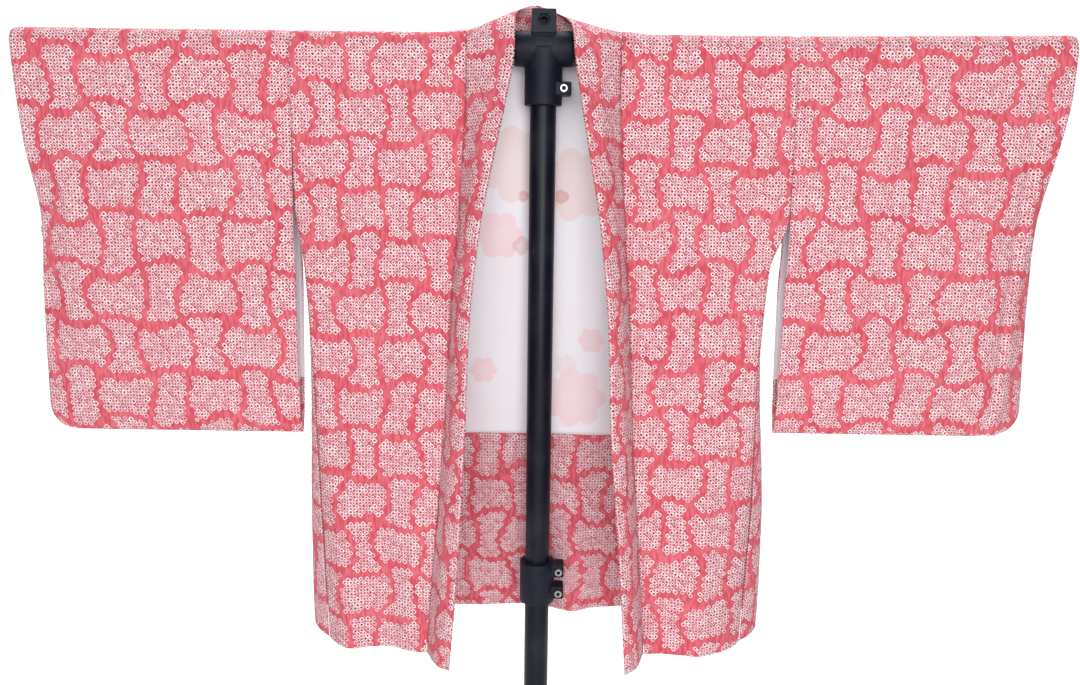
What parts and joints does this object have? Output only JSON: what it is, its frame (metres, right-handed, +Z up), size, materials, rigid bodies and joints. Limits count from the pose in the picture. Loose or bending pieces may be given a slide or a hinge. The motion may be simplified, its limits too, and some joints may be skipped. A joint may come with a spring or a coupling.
{
  "type": "haori jacket on a t-shaped display stand",
  "caption": "Short open kimono jacket with square sleeves and a long turned collar, hung over the cross bar of a pole stand that holds it upright for display.",
  "frame": {"origin": "on the floor at the centre of the round base, below the pole", "axes": "+X towards the jacket's right-hand side as a viewer sees it, -Y towards the viewer and the open front, +Z up"},
  "size_m": [1.264, 0.43, 1.374],
  "materials": {
    "shibori_silk": "matt crinkled silk crepe, tie-dyed in small rings",
    "lining_silk": "smooth plain-weave silk with pale pink shading",
    "black_tube": "satin powder coat",
    "black_casting": "matt powder coat",
    "bright_screw": "zinc-plated steel",
    "end_cap": "moulded plastic"
  },
  "bodies": {
    "root": {"body_left": "shibori_silk", "body_right": "shibori_silk", "gusset_left": "shibori_silk", "gusset_right": "shibori_silk", "sleeve_left": "shibori_silk", "sleeve_right": "shibori_silk", "collar": "shibori_silk", "hem_facing": "shibori_silk", "lining_back": "lining_silk", "sleeve_lining_left": "lining_silk", "sleeve_lining_right": "lining_silk", "cross_bar": "black_tube", "upper_pole": "black_tube", "lower_pole": "black_tube", "tee_joint": "black_casting", "coupling": "black_casting", "base_socket": "black_casting", "base_plate": "black_casting", "tee_bolt": "bright_screw", "coupling_bolt_upper": "bright_screw", "coupling_bolt_lower": "bright_screw", "bar_cap_left": "end_cap", "bar_cap_right": "end_cap"}
  },
  "joints": []
}
